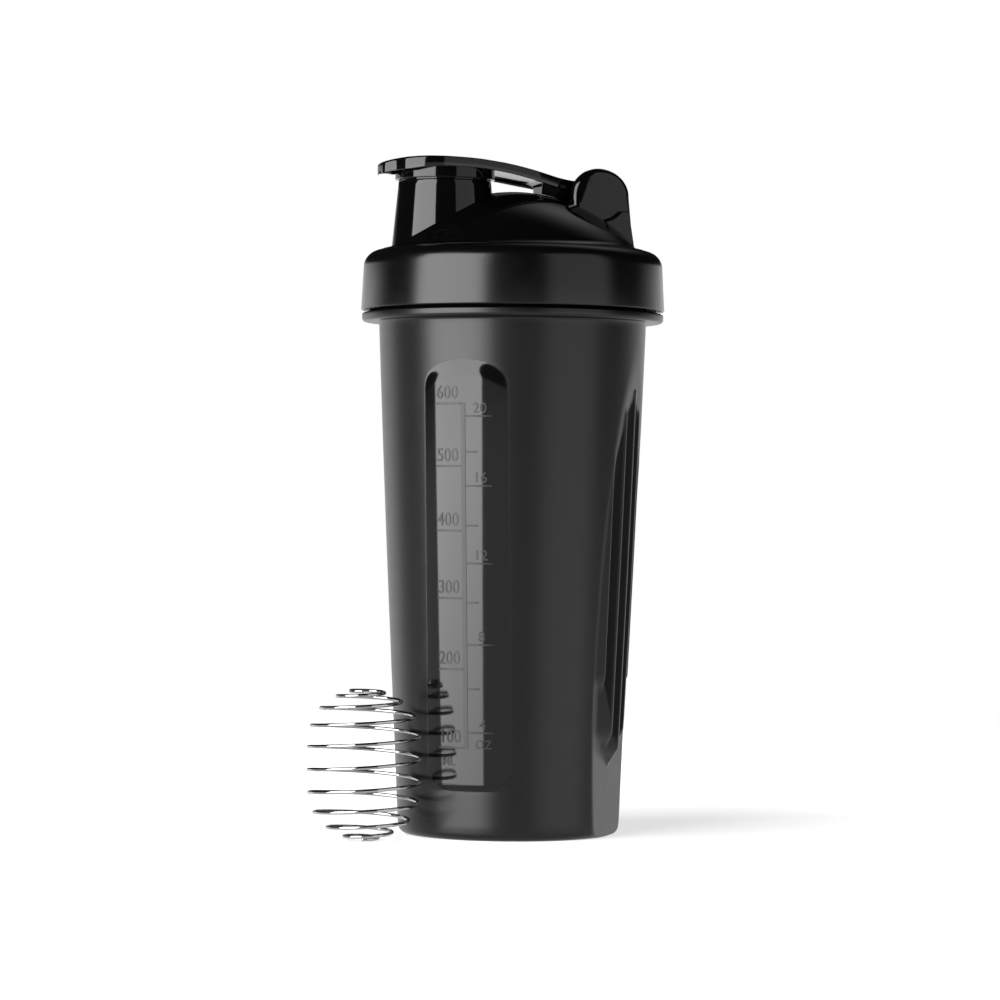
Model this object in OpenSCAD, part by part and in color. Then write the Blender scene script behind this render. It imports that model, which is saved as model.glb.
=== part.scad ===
// Protein shaker bottle with a screw lid, a flip cap over the spout and a loose wire mixing ball.
// Millimetres, +Z up. The origin is on the bottle's axis, on the surface it stands on.
// The spout points to -X and the cap's hinge is at +X.

/* [Cup] */
// Radius of the cup's side at the base
base_r = 35.5; // [34:0.1:37]
// Radius of the cup's side under the flange
side_top_r = 42.9; // [42:0.1:43.4]
// Height of the cup's side, up to the flange
side_h = 163.8; // [160:0.1:164]
// How far the middle of the side bulges beyond a straight cone
side_bulge = 0.3; // [0:0.1:0.8]
// Thickness of the cup's wall
wall = 1.7; // [1.2:0.1:2.2]
// Thickness of the cup's floor
floor_t = 2.6; // [2:0.1:4]
// Radius of the flange under the lid
flange_r = 48.4; // [47.5:0.1:49]
// Thickness of the flange
flange_t = 2.7; // [2:0.1:2.9]

/* [Grips] */
// Distance from the axis to a grip's surface at the base
grip_base = 32.8; // [32:0.1:34]
// Radius of the long hollow curve of a grip, seen from the side
grip_curve_r = 1175; // [1000:5:1400]
// Ribs on each grip
rib_count = 5; // [3:2:7]
// Angle between one rib and the next
rib_step = 9.2; // [8:0.1:10]
// Width of a rib
rib_w = 1.3; // [0.8:0.1:2]

/* [Window] */
// Direction of the middle of the window strip, seen from above
window_dir = -126; // [-150:1:-100]
// Half the angle that the window strip covers
window_half_angle = 20.8; // [15:0.1:24]
// Height of the window's lower edge
window_z0 = 15.5; // [8:0.5:20]
// Height of the window's upper edge
window_z1 = 151; // [140:0.5:153]
// Depth of the window strip below the side
window_depth = 0.35; // [0.2:0.05:0.6]

/* [Neck and thread] */
// Outer radius of the neck
neck_r = 43.2; // [43:0.1:43.5]
// Height of the neck's rim
rim_z = 182; // [181.8:0.1:182.2]
// Rise of the thread in one turn
pitch = 6; // [5.5:0.1:6.5]
// Turns of the thread
thread_turns = 1.25; // [1:0.05:1.3]
// Height of the ridge of the thread
thread_h = 1.7; // [1.4:0.1:1.8]

/* [Lid] */
// Outer radius of the collar at its lower edge
collar_r = 48.7; // [48.5:0.1:49]
// Height of the collar's lower edge
collar_z = 167.4; // [167:0.1:167.8]
// Height of the collar's rounded shoulder
collar_top_z = 186.6; // [186.4:0.1:187]
// Radius of the dome where it rises from its brim
dome_r = 38.7; // [38:0.1:39]
// Height of the top of the dome
dome_top_z = 205.5; // [205:0.1:206]
// Thickness of the dome's wall
dome_wall = 2.2; // [1.8:0.1:2.5]

/* [Spout] */
// Distance from the bottle's axis to the spout's axis
spout_x = 22.8; // [22.4:0.1:23]
// Outer radius of the spout at its rim
spout_r = 14.3; // [14.1:0.1:14.4]
// Radius of the spout's mouth
mouth_r = 12.5; // [12.4:0.1:12.7]
// Height of the spout's rim
spout_z = 211.2; // [211:0.1:211.4]

/* [Flip cap] */
// Radius of the arched top of the flip cap
arch_r = 140; // [136:1:144]
// Height of the top of the arch
arch_z = 216.5; // [216.3:0.1:216.8]
// Thickness of the cap's top
cap_t = 2.5; // [2:0.1:2.8]
// Height of the rim around the cap's edge
cap_rim_h = 3.3; // [3:0.1:3.8]
// Radius of the rounded nose over the spout
nose_r = 16.6; // [16.2:0.1:17.2]
// Distance from the bottle's axis to the tip of the thumb lip
lip_x = 43.6; // [43:0.1:45]
// Outer radius of the skirt that covers the spout's rim
skirt_r = 15.9; // [15.7:0.1:16.1]
// Height of the lower edge of the skirt
skirt_z = 208.9; // [208.8:0.1:209.4]

/* [Hinge] */
// Distance from the bottle's axis to the hinge's axis
hinge_x = 26.3; // [26:0.1:26.6]
// Height of the hinge's axis
hinge_z = 204.6; // [204.4:0.1:204.8]
// Radius of the round head of each ear
ear_r = 8.1; // [7.8:0.1:8.3]
// Radius of the smaller ear on the far side
far_ear_r = 4.9; // [4.6:0.1:5.4]
// Half the gap between the ears
ear_gap = 7; // [6.9:0.1:7.2]
// Thickness of each ear
ear_t = 5.5; // [5:0.1:6]
// Radius of the hinge pin
pin_r = 1.5; // [1.2:0.1:1.8]

/* [Mixing ball] */
// Outer radius of the wire ball
ball_r = 18.2; // [16:0.05:18.4]
// Height of the wire ball
ball_h = 47.4; // [44:0.1:50]
// Diameter of the wire
wire_d = 1.4; // [1.2:0.1:1.6]
// Turns of the wire
ball_turns = 10; // [9:1:12]
// Place of the ball's axis, as [x, y]
ball_at = [-52.1, -18.9]; // [-80:0.1:-10]

/* [Hidden] */
$fn = 96;

// Cup
side_steps = 8;
function side_r(z) = let (t = z / side_h)
    base_r + (side_top_r - base_r) * t + side_bulge * 4 * t * (1 - t);
foot_edge_r = 2.5;
foot_recess = 1;
foot_recess_r = 28;
flange_z = side_h + flange_t;
flange_edge_r = 1.1;
neck_inner_r = neck_r - 1.7;
grip_dirs = [window_dir - 92, window_dir + 92];
rib_drop = 0.25;
rib_z0 = [50, 33, 28, 33, 50];
rib_z1 = [119.5, 135, 141.5, 135, 119.5];
window_corner_r = 8;
tick_h = 0.7;
tick_w = 7.5;
spine_w = 1.4;
mark_r = 36.27;
mark_z = 29.8;
mark_taper = 0.0448;
// Height of the mark for a volume in millilitres, in a cup that widens upwards
function height_of(ml) =
    mark_z + (pow(pow(mark_r, 3) + 3000 * mark_taper * (ml - 100) / PI, 1 / 3) - mark_r) / mark_taper;
ml_marks = [for (i = [1:6]) height_of(100 * i)];
oz_ml = 29.57;
oz_marks = [for (i = [2:10]) [height_of(2 * i * oz_ml), i % 2 == 0 ? 9.5 : 5]];

// Thread: the lid's ridge lies under the neck's ridge by thread_drop
thread_z = 171.6;
thread_drop = 2.1;
root_half = 1.1;
crest_half = 0.55;
thread_steps = 36;

// Lid
collar_inner_r = 46.3;
collar_wall_r = 48;
shoulder_r = 5.4;
seat_r = 41.8;
seat_z = 185.4;
lid_hole_r = 38.2;
ceiling_z = 183.7;
brim_z = 188.6;
dome_h = dome_top_z - brim_z;
dome_sphere_r = (dome_r * dome_r + dome_h * dome_h) / (2 * dome_h);
dome_center_z = dome_top_z - dome_sphere_r;
spout_base_r = 16.9;
spout_neck_r = 14.8;
spout_lip_h = 2.8;
ear_foot_x = 36;
mouth_base_r = 14.5;

// Flip cap
arch_x = -32;
arm_half_w = 13;
arm_end_half_w = 6.7;
lip_half_w = 6.8;
boss_z = 212.1;
root_x = 8;
root_gap = 0.7;
barrel_r = 4.6;
running_gap = 0.06;
plug_h = 2.6;
plug_gap = 0.6;
skirt_gap = 0.55;
rim_t = 1.6;

// Mixing ball: the wire runs from pole to pole over a barrel shape
wire_r = wire_d / 2;
ball_half_h = ball_h / 2 - wire_r;
ball_fill = 0.966;
ball_phase = 251;
wire_steps = 26;
wire_sides = 8;

// Points of a circular arc, from angle a0 to a1
function arc(c, r, a0, a1, n) =
    [for (i = [0:n]) let (a = a0 + (a1 - a0) * i / n) [c[0] + r * cos(a), c[1] + r * sin(a)]];

// The cup's side as a solid of revolution, inset all round by d
module side_solid(d, z0, z1) {
    rotate_extrude()
        polygon(concat([[0, z0]],
            [for (i = [0:side_steps]) let (z = z0 + (z1 - z0) * i / side_steps) [side_r(z) - d, z]],
            [[0, z1]]));
}

// What a grip takes away, inset all round by d
module grip_cuts(d) {
    for (a = grip_dirs)
        rotate([0, 0, a])
            translate([grip_base + grip_curve_r, 0, 0])
                rotate([90, 0, 0])
                    cylinder(r = grip_curve_r + d, h = 90, center = true, $fn = 360);
}

module ribs() {
    intersection() {
        side_solid(rib_drop, 20, 150);
        union() {
            for (a = grip_dirs)
                for (i = [0:rib_count - 1])
                    rotate([0, 0, a + (i - (rib_count - 1) / 2) * rib_step])
                        translate([base_r - 5, -rib_w / 2, rib_z0[i]])
                            cube([15, rib_w, rib_z1[i] - rib_z0[i]]);
        }
    }
}

// Outline of the window strip, across and up, with rounded corners
module window_outline(d) {
    low = side_r(window_z0) * sin(window_half_angle) - d;
    high = side_r(window_z1) * sin(window_half_angle) - d;
    c = window_corner_r - d;
    z0 = window_z0 + d;
    z1 = window_z1 - d;
    polygon(concat(
        arc([low - c, z0 + c], c, -90, 0, 6), arc([high - c, z1 - c], c, 0, 90, 6),
        arc([c - high, z1 - c], c, 90, 180, 6), arc([c - low, z0 + c], c, 180, 270, 6)));
}

module window_cut() {
    difference() {
        rotate([0, 0, window_dir])
            translate([base_r - 8, 0, 0])
                rotate([90, 0, 90])
                    linear_extrude(20)
                        window_outline(0);
        side_solid(window_depth, 5, 160);
    }
}

// Raised volume marks: an upright spine, a bar for each 100 ml and one for each 2 ounces
module volume_marks() {
    intersection() {
        side_solid(0.1, 5, 160);
        rotate([0, 0, window_dir])
            union() {
                translate([base_r - 5, -spine_w / 2, ml_marks[0]])
                    cube([15, spine_w, ml_marks[5] - ml_marks[0] + tick_h]);
                for (z = ml_marks)
                    translate([base_r - 5, -tick_w, z])
                        cube([15, tick_w, tick_h]);
                for (m = oz_marks)
                    translate([base_r - 5, 0, m[0]])
                        cube([15, m[1], tick_h]);
            }
    }
}

// Ridge of a screw thread. It stands out from radius r0 to radius r1
module thread_ridge(r0, r1, z0) {
    n = ceil(thread_steps * thread_turns);
    sign = r1 > r0 ? 1 : -1;
    root = r0 - sign * 0.4;
    function ring(i) =
        let (a = 360 * thread_turns * i / n, z = z0 + pitch * thread_turns * i / n,
             fade = min(1, 0.15 + 4 * min(i, n - i) / thread_steps),
             top = r0 + (r1 - r0) * fade)
        [for (p = [[root, -root_half], [top, -crest_half], [top, crest_half], [root, root_half]])
            [p[0] * cos(a), p[0] * sin(a), z + p[1]]];
    points = [for (i = [0:n]) each ring(i)];
    sides = [for (i = [0:n - 1]) for (k = [0:3])
        let (a = 4 * i + k, b = 4 * i + (k + 1) % 4) each [[a, b, b + 4], [a, b + 4, a + 4]]];
    ends = [[3, 2, 1], [3, 1, 0], [4 * n, 4 * n + 1, 4 * n + 2], [4 * n, 4 * n + 2, 4 * n + 3]];
    all = concat(sides, ends);
    polyhedron(points, sign > 0 ? all : [for (f = all) [f[2], f[1], f[0]]]);
}

module bottle_cup() {
    color([0.20, 0.20, 0.21])
    difference() {
        union() {
            difference() {
                rotate_extrude()
                    polygon(concat([[0, 0]],
                        arc([base_r - foot_edge_r, foot_edge_r], foot_edge_r, -90, 0, 6),
                        [for (i = [1:side_steps]) let (z = foot_edge_r
                            + (side_h - foot_edge_r) * i / side_steps) [side_r(z), z]],
                        [[0, side_h]]));
                grip_cuts(0);
                window_cut();
            }
            ribs();
            volume_marks();
            rotate_extrude()
                polygon(concat([[side_top_r - 2, side_h]],
                    arc([flange_r - flange_edge_r, side_h + flange_edge_r], flange_edge_r, -90, 0, 4),
                    arc([flange_r - 0.5, flange_z - 0.5], 0.5, 0, 90, 3),
                    [[neck_r, flange_z], [neck_r, rim_z - 0.6], [neck_r - 0.6, rim_z],
                     [neck_r - 2, rim_z]]));
            thread_ridge(neck_r, neck_r + thread_h, thread_z);
        }
        difference() {
            side_solid(wall, floor_t, side_h);
            grip_cuts(wall);
        }
        translate([0, 0, side_h - 0.5])
            cylinder(r = neck_inner_r, h = 30);
        translate([0, 0, -1])
            cylinder(r1 = foot_recess_r + 1, r2 = foot_recess_r - 1, h = 1 + foot_recess);
    }
}

module lid_collar() {
    color([0.19, 0.19, 0.20])
    union() {
        rotate_extrude()
            polygon(concat(
                [[collar_inner_r, collar_z], [collar_r - 0.4, collar_z], [collar_r, collar_z + 0.4]],
                arc([collar_wall_r - shoulder_r, collar_top_z - shoulder_r], shoulder_r, 0, 90, 10),
                [[seat_r, collar_top_z], [seat_r, seat_z], [lid_hole_r, seat_z],
                 [lid_hole_r, ceiling_z], [collar_inner_r - 0.8, ceiling_z],
                 [collar_inner_r, ceiling_z - 0.8]]));
        thread_ridge(collar_inner_r, neck_r + 0.5, thread_z - thread_drop);
    }
}

// One hinge ear seen from the side: a round head on a foot that widens backwards
module ear_outline(r) {
    foot_x = ear_foot_x - ear_r + r;
    translate([hinge_x, hinge_z])
        circle(r = r);
    polygon([[hinge_x - r, seat_z + 0.8], [hinge_x - r, hinge_z], [hinge_x + r, hinge_z],
        [foot_x, brim_z], [foot_x, seat_z + 0.8]]);
}

module lid_top() {
    color([0.05, 0.05, 0.055])
    difference() {
        union() {
            rotate_extrude()
                polygon([[0, seat_z], [seat_r, seat_z], [seat_r, collar_top_z],
                    [dome_r, brim_z + 0.01], [0, brim_z + 0.01]]);
            intersection() {
                translate([0, 0, dome_center_z])
                    sphere(r = dome_sphere_r, $fn = 120);
                translate([0, 0, brim_z])
                    cylinder(r = 60, h = 30);
            }
            translate([-spout_x, 0, brim_z - 1.4])
                cylinder(r1 = spout_base_r, r2 = spout_neck_r, h = spout_z - spout_lip_h - brim_z + 1.4);
            translate([-spout_x, 0, spout_z - spout_lip_h])
                cylinder(r = spout_r, h = spout_lip_h - 0.6);
            translate([-spout_x, 0, spout_z - 0.6])
                cylinder(r1 = spout_r, r2 = spout_r - 0.5, h = 0.6);
            for (side = [-1, 1])
                translate([0, side > 0 ? ear_gap + ear_t : -ear_gap, 0])
                    rotate([90, 0, 0])
                        linear_extrude(ear_t)
                            ear_outline(side > 0 ? far_ear_r : ear_r);
        }
        intersection() {
            translate([0, 0, dome_center_z])
                sphere(r = dome_sphere_r - dome_wall, $fn = 120);
            translate([0, 0, seat_z - 1])
                cylinder(r = 60, h = 30);
        }
        translate([-spout_x, 0, seat_z + 1])
            cylinder(r1 = mouth_base_r, r2 = mouth_r, h = spout_z - seat_z);
        translate([hinge_x, ear_gap + ear_t + 1, hinge_z])
            rotate([90, 0, 0])
                cylinder(r = pin_r, h = 2 * ear_gap + 2 * ear_t - 1);
    }
}

module lid_gasket() {
    color([0.12, 0.12, 0.12])
    rotate_extrude()
        polygon([[neck_inner_r - 1.5, rim_z + 0.1], [neck_r + 1.2, rim_z + 0.1],
            [neck_r + 1.2, ceiling_z - 0.1], [neck_inner_r - 1.5, ceiling_z - 0.1]]);
}

// The flip cap seen from above, inset all round by d
module cap_outline(d) {
    translate([-spout_x, 0])
        circle(r = nose_r - d);
    back = 0.8 * d;
    side = 0.6 * d;
    half = [[-lip_x + d, lip_half_w - 1.5 - side], [-lip_x + 1 + back, lip_half_w + 0.5 - side],
        [-lip_x + 3.5 + back, nose_r - 5 - side], [-lip_x + 5.6 + back, nose_r - 2.8 - side],
        [-lip_x + 8 + back, nose_r - 1.3 - d], [-lip_x + 13.6, nose_r - 0.2 - d],
        [-spout_x, nose_r - 0.2 - d], [-5, arm_half_w + 0.9 - d],
        [4, arm_half_w - 1 - d], [hinge_x - 9, arm_end_half_w - d], [hinge_x, arm_end_half_w - d]];
    n = len(half);
    polygon(concat(half, [for (i = [1:n]) [half[n - i][0], -half[n - i][1]]]));
}

// The part of an upright prism between two arches, d0 and d1 below the cap's top
module between_arches(d0, d1) {
    intersection() {
        translate([0, 0, 190])
            linear_extrude(40)
                children();
        translate([arch_x, 0, arch_z - arch_r])
            rotate([90, 0, 0])
                difference() {
                    cylinder(r = arch_r - d0, h = 80, center = true, $fn = 360);
                    cylinder(r = arch_r - d1, h = 82, center = true, $fn = 360);
                }
    }
}

module flip_cap() {
    color([0.05, 0.05, 0.055])
    difference() {
        union() {
            difference() {
                between_arches(0, cap_rim_h)
                    cap_outline(0);
                between_arches(cap_t, cap_rim_h + 1)
                    cap_outline(rim_t);
            }
            intersection() {
                between_arches(0.2, 20)
                    translate([-spout_x, 0])
                        circle(r = skirt_r);
                translate([-spout_x, 0, skirt_z])
                    cylinder(r = skirt_r, h = 20);
            }
            difference() {
                between_arches(0.2, 40)
                    translate([root_x, -arm_end_half_w])
                        square([hinge_x - root_x, 2 * arm_end_half_w]);
                translate([0, 0, dome_center_z])
                    sphere(r = dome_sphere_r + root_gap, $fn = 120);
                translate([0, -20, 180])
                    cube([40, 40, hinge_z - barrel_r - 180]);
            }
            translate([hinge_x, arm_end_half_w, hinge_z])
                rotate([90, 0, 0])
                    cylinder(r = barrel_r, h = 2 * arm_end_half_w);
        }
        translate([-spout_x, 0, skirt_z - 5])
            cylinder(r = spout_r + skirt_gap, h = boss_z - skirt_z + 5);
        translate([hinge_x, 0, hinge_z])
            rotate([90, 0, 0])
                cylinder(r = pin_r + running_gap, h = 40, center = true);
    }
}

module spout_seal() {
    color([0.12, 0.12, 0.12])
    translate([-spout_x, 0, 0])
        rotate_extrude()
            polygon([[mouth_r - 2.4, spout_z - plug_h], [mouth_r - plug_gap - 0.4, spout_z - plug_h],
                [mouth_r - plug_gap, spout_z - plug_h + 0.6], [mouth_r - plug_gap, spout_z + 0.1],
                [spout_r + 0.2, spout_z + 0.1], [spout_r + 0.2, boss_z], [0, boss_z],
                [0, spout_z - 0.2], [mouth_r - 2.4, spout_z - 0.2]]);
}

module hinge_pin() {
    color([0.7, 0.7, 0.72])
    translate([hinge_x, ear_gap + ear_t - 0.4, hinge_z])
        rotate([90, 0, 0])
            cylinder(r = pin_r, h = 2 * ear_gap + 2 * ear_t - 2.4);
}

// Place of the wire's middle line on the ball, where u goes from -1 to 1
function wire_at(u) =
    let (z = sin(90 * u), a = ball_phase + 180 * ball_turns * u,
         r = (ball_r - wire_r) * pow(1 - pow(abs(z) * ball_fill, 4), 0.7))
    [r * cos(a), r * sin(a), ball_h / 2 + ball_half_h * z];

module mixing_ball() {
    n = wire_steps * ball_turns;
    function unit(v) = v / norm(v);
    function ring(i) =
        let (u = 2 * i / n - 1, p = wire_at(u), along = unit(wire_at(u + 0.001) - wire_at(u - 0.001)),
             out = unit(cross(along, [0, 0, 1])), up = cross(out, along))
        [for (k = [0:wire_sides - 1]) let (a = 360 * k / wire_sides)
            p + wire_r * (cos(a) * out + sin(a) * up)];
    points = [for (i = [0:n]) each ring(i)];
    sides = [for (i = [0:n - 1]) for (k = [0:wire_sides - 1])
        let (a = wire_sides * i + k, b = wire_sides * i + (k + 1) % wire_sides)
        each [[a, b, b + wire_sides], [a, b + wire_sides, a + wire_sides]]];
    start = [for (k = [1:wire_sides - 2]) [0, k + 1, k]];
    last = wire_sides * n;
    end = [for (k = [1:wire_sides - 2]) [last, last + k, last + k + 1]];
    color([0.75, 0.75, 0.76])
    translate([ball_at[0], ball_at[1], 0])
        polyhedron(points, [for (f = concat(sides, start, end)) [f[2], f[1], f[0]]]);
}

bottle_cup();
lid_collar();
lid_top();
lid_gasket();
flip_cap();
spout_seal();
hinge_pin();
mixing_ball();
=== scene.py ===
import math

import bmesh
import bpy
import numpy as np
from mathutils import Matrix, Vector


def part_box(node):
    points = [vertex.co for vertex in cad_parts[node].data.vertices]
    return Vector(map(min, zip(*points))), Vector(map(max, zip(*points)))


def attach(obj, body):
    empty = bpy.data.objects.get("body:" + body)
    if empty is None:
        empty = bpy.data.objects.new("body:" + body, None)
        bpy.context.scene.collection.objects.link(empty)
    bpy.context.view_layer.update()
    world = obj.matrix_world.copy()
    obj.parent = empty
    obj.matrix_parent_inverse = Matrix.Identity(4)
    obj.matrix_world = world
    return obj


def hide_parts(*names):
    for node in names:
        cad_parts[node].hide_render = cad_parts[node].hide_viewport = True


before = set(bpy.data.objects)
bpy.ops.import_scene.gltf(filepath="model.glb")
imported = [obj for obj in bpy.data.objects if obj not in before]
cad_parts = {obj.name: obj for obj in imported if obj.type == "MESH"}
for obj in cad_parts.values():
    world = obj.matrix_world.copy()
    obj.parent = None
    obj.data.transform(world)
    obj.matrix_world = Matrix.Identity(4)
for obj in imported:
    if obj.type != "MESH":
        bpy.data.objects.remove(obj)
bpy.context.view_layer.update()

# The design's dimensions, in millimetres and degrees. The frame gives the places that they start from.
MM = 0.001
_, cup_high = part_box("bottle_cup")
collar_low, collar_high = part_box("lid_collar")
top_low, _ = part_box("lid_top")
ball_low, ball_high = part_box("mixing_ball")
seal_low, seal_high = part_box("spout_seal")
pin_low, pin_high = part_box("hinge_pin")

# Cup
BASE_R, SIDE_TOP_R, SIDE_H, SIDE_BULGE = 35.5, 42.9, 163.8, 0.3
WALL, FLOOR_T = 1.7, 2.6
FOOT_IN_R, FOOT_RECESS, FOOT_EDGE, FLOOR_FILLET = 28.0, 1.0, 2.5, 2.2
FLANGE_R, FLANGE_T, FLANGE_EDGE, FLANGE_TOP_EDGE, FLANGE_FILLET = 48.4, 2.7, 1.1, 0.5, 0.8
NECK_R, NECK_INNER_R, NECK_EDGE, NECK_INNER_EDGE = 43.2, 41.5, 0.6, 0.5
RIM_Z = cup_high.z / MM
GRIP_BASE, GRIP_CURVE_R = 32.8, 1175.0
GRIP_MIDDLE, WINDOW_DIR, WINDOW_HALF_W = -126.0, -126.3, 13.9
WINDOW_Z0, WINDOW_Z1, WINDOW_DEPTH, WINDOW_EDGE = 15.5, 151.0, 0.06, 0.4
WINDOW_BULGE, WINDOW_ARCH_R, WINDOW_TOP_CORNER, WINDOW_FOOT_CORNER, ARCH_BLEND = 0.62, 20.0, 4.0, 8.0, 2.5
GRIP_DIRS, GRIP_EDGE = (GRIP_MIDDLE - 92, GRIP_MIDDLE + 92), 0.5
RIB_STEP, RIB_DROP, RIB_SLOPE, RIB_ROUND, VALLEY_START = 9.2, 0.1, 0.47, 0.8, 0.22
RIB_ENDS = ((50, 119.5), (33, 135), (28, 141.5), (33, 135), (50, 119.5))
RIB_END_SLOPE, VALLEY_END = 0.6, 3
ML_MARKS = (28.9, 53.5, 75.7, 96.8, 116.9, 136.4)
OZ_MARKS = (33.7, 47.4, 61.2, 74.4, 86.6, 98.4, 110.8, 121.4, 132.5)
MARK_T, MARK_ROOT, BAR_H, BAR_SLOPE = 0.16, 0.15, 0.7, 0.12
SPINE, ML_BAR, OZ_BAR, OZ_SHORT_BAR = (-0.75, 0.85), (-9.5, -0.7), (0.8, 9.2), (0.8, 4.6)
LETTER_WEIGHT, LETTER_SPACING = 0.06, 1.06
# The cup's columns are this many degrees apart at the ribs, at the window's edges, near both, and elsewhere.
RIB_COLUMNS, EDGE_COLUMNS, NEAR_COLUMNS, PLAIN_COLUMNS = 0.42, 0.35, 0.7, 1.6
# How far round the cup the window's edges are from its middle
WINDOW_EDGE_ANGLE = 20.6
# The cup's rows, as their first height, last height and step. They are close at the window's ends.
SIDE_ROWS = ((3.5, 12.5, 1.5), (13, 25, 0.5), (25, 136, 1.5), (136, 153.5, 0.5), (154, 162.5, 1.5))
# Thread
PITCH, TURNS, THREAD_Z, THREAD_DROP, THREAD_H = 6.0, 1.25, 171.6, 2.1, 1.7
# Lid
COLLAR_R, COLLAR_WALL_R, COLLAR_INNER_R, COLLAR_EDGE = 48.7, 48.0, 46.3, 0.5
COLLAR_Z, COLLAR_TOP_Z, SHOULDER_R = collar_low.z / MM, round(collar_high.z / MM, 2), 5.4
SEAT_R, SEAT_Z, CEILING_Z, LID_HOLE_R = 41.8, round(top_low.z / MM, 2), 183.7, 38.2
DOME_R, DOME_TOP_Z, BRIM_Z, DOME_WALL = 38.7, 205.75, 188.6, 2.2
DOME_H = DOME_TOP_Z - BRIM_Z
DOME_SPHERE_R = (DOME_R ** 2 + DOME_H ** 2) / (2 * DOME_H)
DOME_CENTER_Z = DOME_TOP_Z - DOME_SPHERE_R
# Spout
SPOUT_X = -(seal_low.x + seal_high.x) / 2 / MM
SPOUT_Z, SPOUT_R, SPOUT_NECK_R, SPOUT_BASE_R, SPOUT_LIP_H, SPOUT_EDGE = 211.2, 14.3, 14.8, 16.9, 2.8, 0.7
MOUTH_R, MOUTH_BASE_R, MOUTH_EDGE = 12.5, 14.5, 0.5
# Hinge
HINGE_X = (pin_low.x + pin_high.x) / 2 / MM
HINGE_Z = (pin_low.z + pin_high.z) / 2 / MM
EAR_R, FAR_EAR_R, EAR_GAP, EAR_T, EAR_FOOT_X, PIN_R = 9.0, 4.9, 7.0, 5.5, 36.6, 1.5
EAR_BACK, EAR_DROP, EAR_LEAN, EAR_FILLET, FAR_EAR_FILLET = 1.0, 0.3, 1.1, 2.0, 0.9
PAD_R, PAD_T, PAD_TURN, PAD_EDGE, PAD_SET_IN = 7.5, 0.9, -0.04, 0.5, 0.6
# Flip cap
RIM_T, NOSE_R, LIP_X, LIP_HALF_W, PLATE_T, CROWN_POWER = 1.6, 16.6, 44.2, 4.2, 2.3, 2.2
SKIRT_R, SKIRT_INNER_R, SKIRT_Z, SKIRT_TOP_Z, SKIRT_EDGE, BOSS_Z = 15.9, 14.85, 208.9, 213.0, 0.12, 212.1
ROOT_X, ROOT_GAP, ROOT_FOOT_W, ROOT_EDGE = 8.0, 0.12, 0.42, 0.2
BARREL_R, BARREL_EDGE, ARM_END_HALF_W, PIN_GAP = 4.6, 0.4, 6.7, 0.06
# Mixing ball
WIRE_R, BALL_TURNS, BALL_FILL, BALL_PHASE, WIRE_SIDES, STEPS_PER_TURN = 0.6, 10, 0.966, 251.0, 14, 64
BALL_R = (ball_high.x - ball_low.x) / 2 / MM
BALL_H = (ball_high.z - ball_low.z) / MM
BALL_X = (ball_high.x + ball_low.x) / 2 / MM
BALL_Y = (ball_high.y + ball_low.y) / 2 / MM
# Camera. Its distances are in metres, and its lens and sensor in millimetres.
CAMERA_AZIMUTH, CAMERA_DISTANCE, CAMERA_HEIGHT, CAMERA_ASIDE, CAMERA_ROLL = -15.0, 1.19, 0.1068, -0.0036, 0.45
CAMERA_LENS, CAMERA_SENSOR = 133.2, 36
# Further away than anything on the bottle
FAR_AWAY = 1e3


# ---------------------------------------------------------------- mesh helpers

def arc(center, r, a0, a1, n):
    """Points of a circular arc from angle a0 to a1, in degrees."""
    angles = np.radians(np.linspace(a0, a1, n + 1))
    return [(center[0] + r * math.cos(a), center[1] + r * math.sin(a)) for a in angles]


def ramp(value, start, end):
    """Smooth step from 0 at start to 1 at end."""
    t = np.clip((value - start) / (end - start), 0, 1)
    return t * t * (3 - 2 * t)


def soft_min(a, b, k):
    """The smaller of a and b, rounded over a width k where they cross."""
    h = np.maximum(k - np.abs(a - b), 0) / k
    return np.minimum(a, b) - h * h * k / 4


def soft_max(a, b, k):
    return -soft_min(-a, -b, k)


def add_mesh(name, points, faces):
    """A new object from points in millimetres."""
    mesh = bpy.data.meshes.new(name)
    mesh.from_pydata((np.asarray(points, float) * MM).tolist(), [], faces)
    mesh.update()
    obj = bpy.data.objects.new(name, mesh)
    bpy.context.scene.collection.objects.link(obj)
    return obj


def grid_faces(rows, columns, closed_rows=False):
    """Quads between rings of points. Each ring is closed."""
    faces = []
    for i in range(rows if closed_rows else rows - 1):
        a, b = i * columns, (i + 1) % rows * columns
        for j in range(columns):
            k = (j + 1) % columns
            faces.append((a + j, a + k, b + k, b + j))
    return faces


def lathe_points(profile, angles):
    """Rings of points for an (r, z) profile turned round the Z axis."""
    p = np.array(profile, float)
    r, z = p[:, 0][:, None], p[:, 1][:, None]
    return np.stack([r * np.cos(angles), r * np.sin(angles), z + 0 * angles], -1)


def lathe(name, profile, segments=192, center=(0, 0), closed=False):
    """A solid of revolution. An open profile starts and ends on the axis, a closed one is a ring."""
    angles = np.linspace(0, 2 * np.pi, segments, endpoint=False)
    body = profile if closed else profile[1:-1]
    points = lathe_points(body, angles).reshape(-1, 3)
    faces = grid_faces(len(body), segments, closed)
    if not closed:
        first, last = len(points), len(points) + 1
        points = np.vstack([points, [[0, 0, profile[0][1]], [0, 0, profile[-1][1]]]])
        end = (len(body) - 1) * segments
        for j in range(segments):
            k = (j + 1) % segments
            faces.append((first, k, j))
            faces.append((last, end + j, end + k))
    points = points + np.array([center[0], center[1], 0])
    return add_mesh(name, points, faces)


def on_axis_y(obj, x0, z0):
    """Lays a solid of revolution down, with its axis along Y through x0 and z0."""
    for v in obj.data.vertices:
        x, y, z = v.co / MM
        v.co = Vector((x0 + x, z, z0 - y)) * MM
    return obj


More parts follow.
